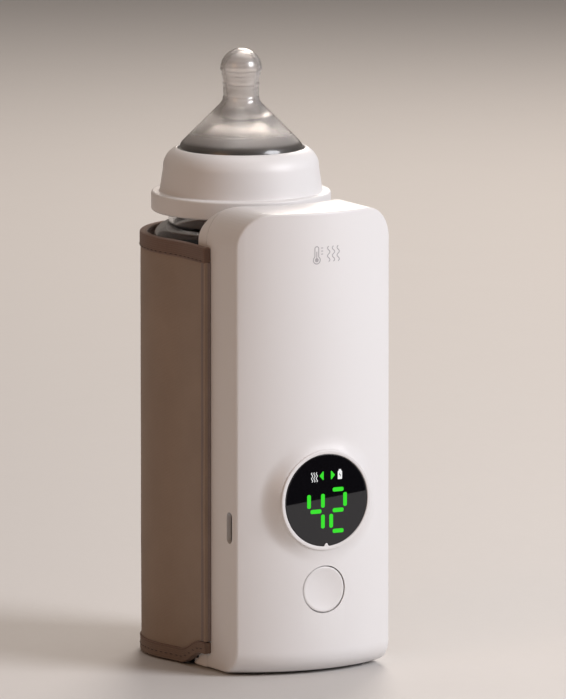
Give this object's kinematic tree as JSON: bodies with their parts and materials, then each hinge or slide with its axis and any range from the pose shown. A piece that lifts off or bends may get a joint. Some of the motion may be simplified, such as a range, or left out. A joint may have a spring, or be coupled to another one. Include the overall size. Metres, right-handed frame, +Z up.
{
  "type": "portable bottle warmer",
  "caption": "Portable bottle warmer: an upright white housing with a round lit display and a push button, and a soft fabric sleeve that holds a feeding bottle with collar and teat.",
  "frame": {"origin": "middle of the footprint, on the surface the warmer stands on", "axes": "+Z up along the bottle, -Y towards the display (the front), +X to the right seen from the front"},
  "size_m": [0.074, 0.1018, 0.2199],
  "materials": {
    "white_plastic": "satin moulded ABS, warm white",
    "lens_black": "glossy dark tinted window",
    "lit_green": "lit light guides",
    "lit_white": "lit symbols",
    "module_black": "matte black moulding",
    "circuit_green": "solder-masked circuit board",
    "header_black": "matte black moulding",
    "switch_black": "matte black moulding",
    "port_steel": "drawn stainless steel",
    "cell_wrap": "shrink-wrapped cell, density near 2.7",
    "holder_grey": "matte grey moulding",
    "nickel": "nickel strip",
    "wire_red": "silicone wire",
    "plate_aluminium": "brushed aluminium",
    "film_amber": "polyimide film",
    "pad_grey": "needled insulation felt",
    "sensor_metal": "plated cap",
    "screw_steel": "zinc-plated",
    "foot_rubber": "soft rubber",
    "sleeve_fabric": "taupe knitted fabric on foam",
    "lining_fabric": "dark plain lining",
    "trim_fabric": "dark woven edge binding",
    "strip_plastic": "stiffening strip",
    "bottle_clear": "clear glossy bottle",
    "collar_white": "satin white polypropylene",
    "teat_silicone": "clear soft silicone"
  },
  "bodies": {
    "warmer": {"front_shell": "white_plastic", "rear_shell": "white_plastic", "rubber_feet": "foot_rubber", "housing_screws": "screw_steel", "display_lens": "lens_black", "display_digits": "lit_green", "display_icons": "lit_white", "display_module": "module_black", "display_board": "circuit_green", "display_header": "header_black", "switch_body": "switch_black", "main_board": "circuit_green", "usb_socket": "port_steel", "usb_tongue": "header_black", "battery_cells": "cell_wrap", "nickel_strips": "nickel", "battery_holder_lower": "holder_grey", "battery_holder_upper": "holder_grey", "battery_leads": "wire_red", "heating_plate": "plate_aluminium", "temperature_sensor": "sensor_metal", "heater_film": "film_amber", "insulation_pad": "pad_grey", "heater_leads": "wire_red", "sleeve_lining": "lining_fabric", "sleeve_outer": "sleeve_fabric", "sleeve_bottom_trim": "trim_fabric", "sleeve_top_trim": "trim_fabric", "sleeve_base": "lining_fabric", "sleeve_anchor_strips": "strip_plastic"},
    "button": {"button_cap": "white_plastic", "switch_stem": "switch_black"},
    "bottle": {"bottle": "bottle_clear"},
    "teat": {"teat": "teat_silicone"},
    "collar": {"bottle_collar": "collar_white"}
  },
  "joints": [
    {"name": "button_press", "type": "slide", "parent": "warmer", "child": "button", "axis": [0, 1, 0], "range_m": [0, 0.0006], "stiffness_N_per_m": 400, "springref_m": -0.0005},
    {"name": "bottle_lift", "type": "slide", "parent": "warmer", "child": "bottle", "axis": [0, 0, 1], "range_m": [0, 0.175]},
    {"name": "teat_lift", "type": "slide", "parent": "bottle", "child": "teat", "axis": [0, 0, 1], "range_m": [0, 0.012]},
    {"name": "collar_turn", "type": "hinge", "parent": "teat", "child": "collar", "pos_m": [0, 0.0139, 0.17], "axis": [0, 0, 1], "range_deg": [0, 720]}
  ],
  "couplings": [
    {"joint": "teat_lift", "follows": "collar_turn", "m_per_rad": 0.00095493}
  ]
}
